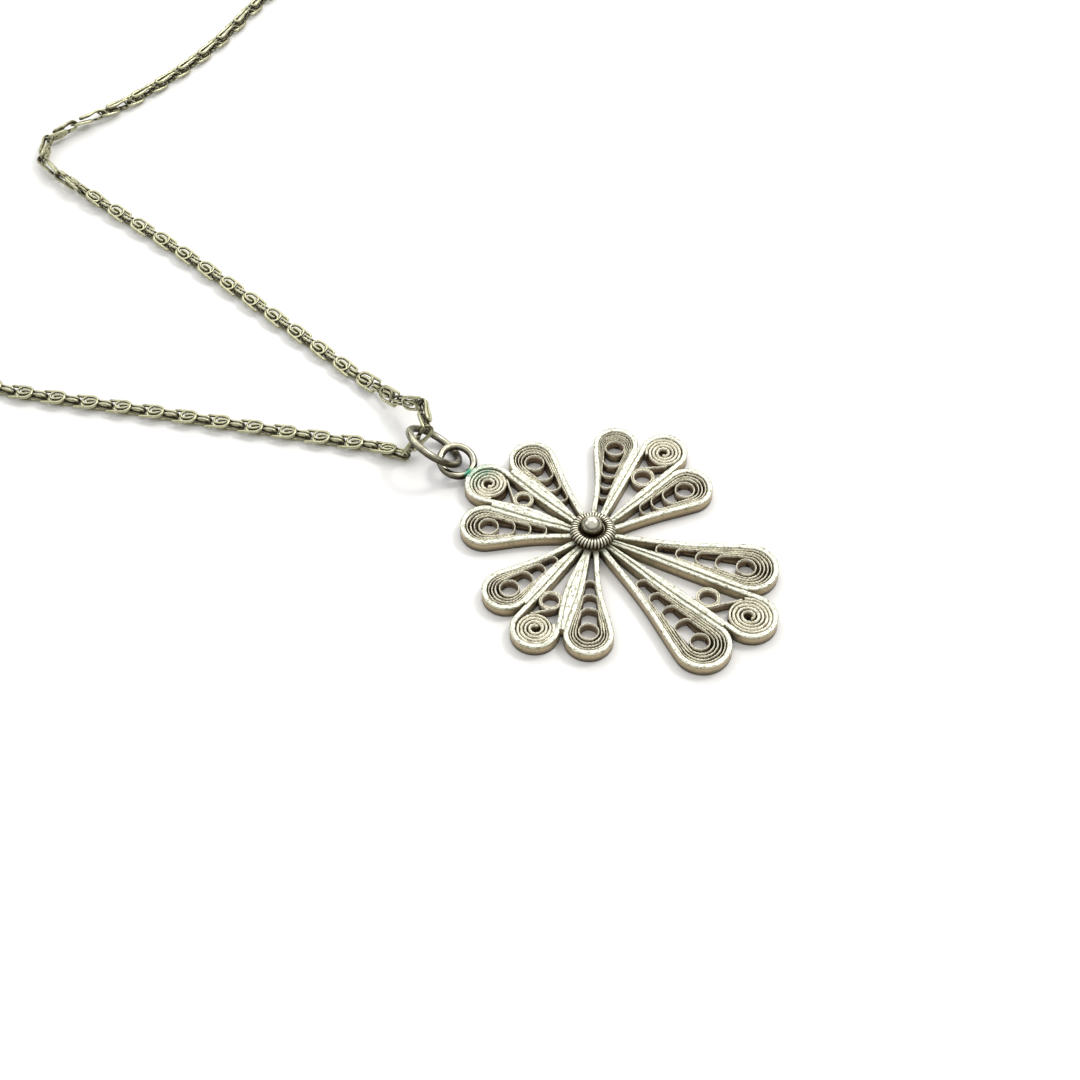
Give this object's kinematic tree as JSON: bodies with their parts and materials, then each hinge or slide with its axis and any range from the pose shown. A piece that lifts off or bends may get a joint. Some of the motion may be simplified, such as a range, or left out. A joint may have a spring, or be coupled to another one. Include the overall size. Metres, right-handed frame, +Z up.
{
  "type": "cross pendant necklace",
  "caption": "Filigree cross pendant with coiled and disc petals, a bail and a jump ring, on a folded scroll-link chain laid in a closed loop",
  "frame": {"origin": "middle of the bounding box in plan, at the height of the surface that the necklace lies on", "axes": "+X to the right and +Y away from the camera as the picture shows it, along the loop's greatest length, +Z up off the surface"},
  "size_m": [0.1096, 0.1807, 0.0049],
  "materials": {
    "cross_silver": "worn filigree silver, dark brown in its recesses",
    "ring_silver": "smooth round silver wire",
    "chain_silver": "worn silver with brown tarnish between the scrolls",
    "clasp_silver": "smooth silver"
  },
  "bodies": {
    "root": {"cross": "cross_silver", "jump_ring": "ring_silver", "chain": "chain_silver", "clasp": "clasp_silver"}
  },
  "joints": []
}
